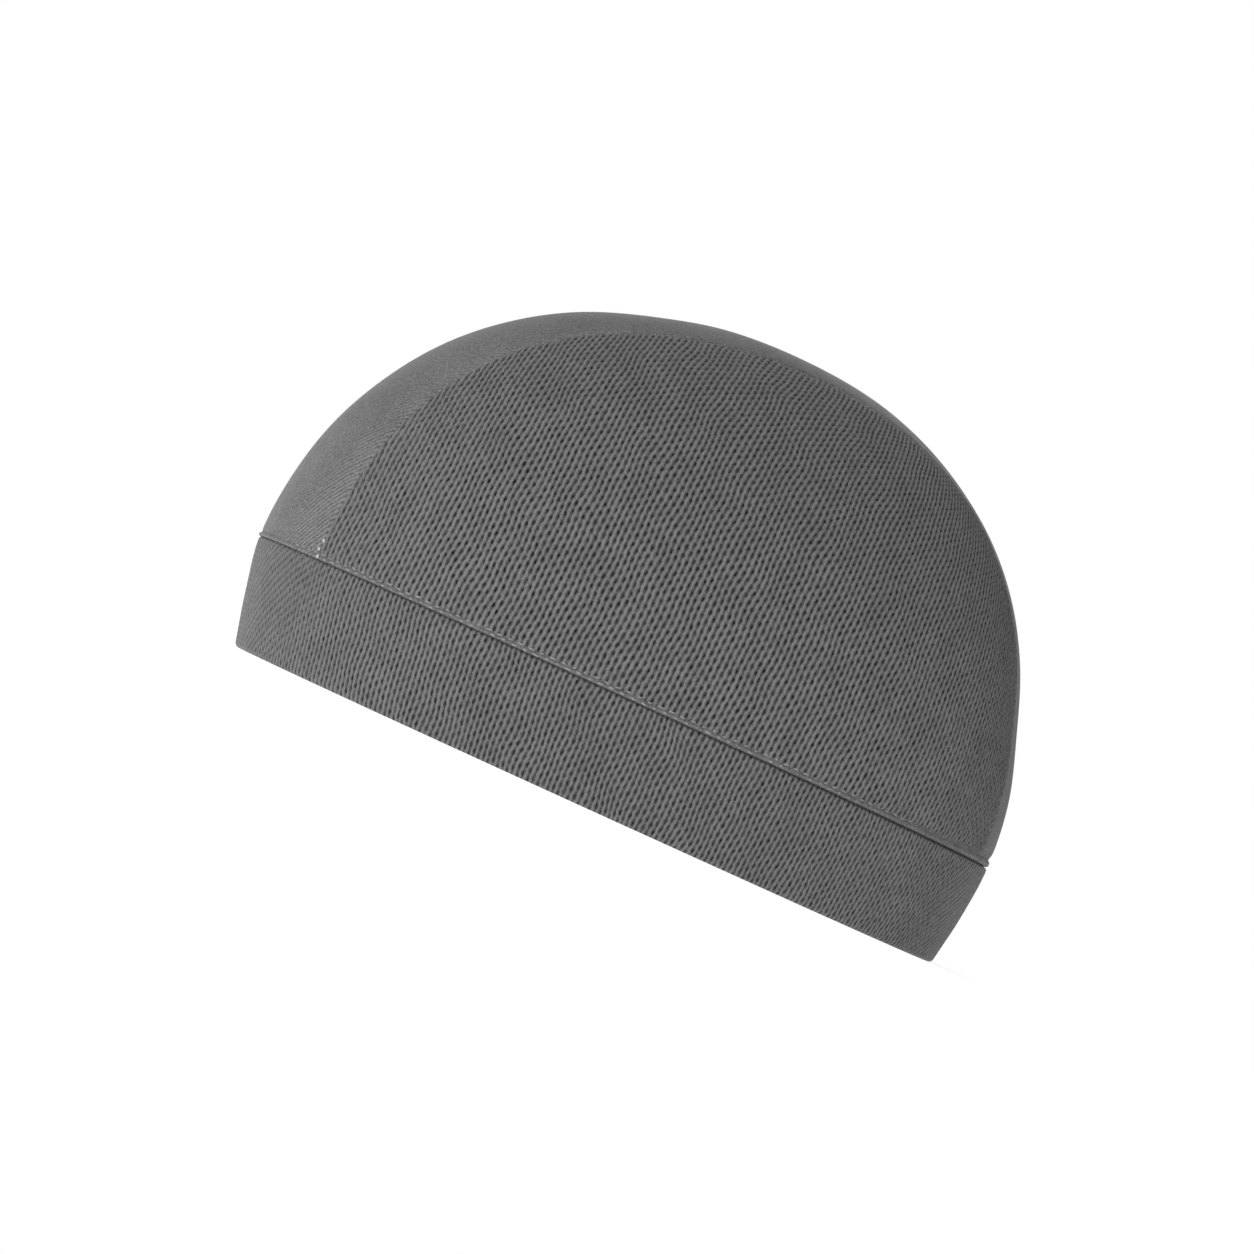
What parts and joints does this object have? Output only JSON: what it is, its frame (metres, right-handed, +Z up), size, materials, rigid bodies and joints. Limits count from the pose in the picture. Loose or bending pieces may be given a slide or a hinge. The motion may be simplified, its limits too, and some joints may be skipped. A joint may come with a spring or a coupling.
{
  "type": "mesh-knit skull cap",
  "caption": "Close-fitting knit skull cap with mesh side panels, a smooth centre strip over the head and a folded band round the open rim.",
  "frame": {"origin": "centre of the rim's resting plane, under the middle of the cap's length and breadth", "axes": "+Z up through the crown, -Y towards the forehead, +X towards the wearer's left"},
  "size_m": [0.1626, 0.2069, 0.127],
  "materials": {
    "mesh_knit": "matt bird's-eye mesh knit, dark grey",
    "smooth_knit": "smooth fine jersey, dark grey, faint sheen",
    "band_knit": "matt bird's-eye mesh knit in two layers, dark grey"
  },
  "bodies": {
    "root": {"side_panel_left": "mesh_knit", "side_panel_right": "mesh_knit", "centre_strip": "smooth_knit", "band": "band_knit"}
  },
  "joints": []
}
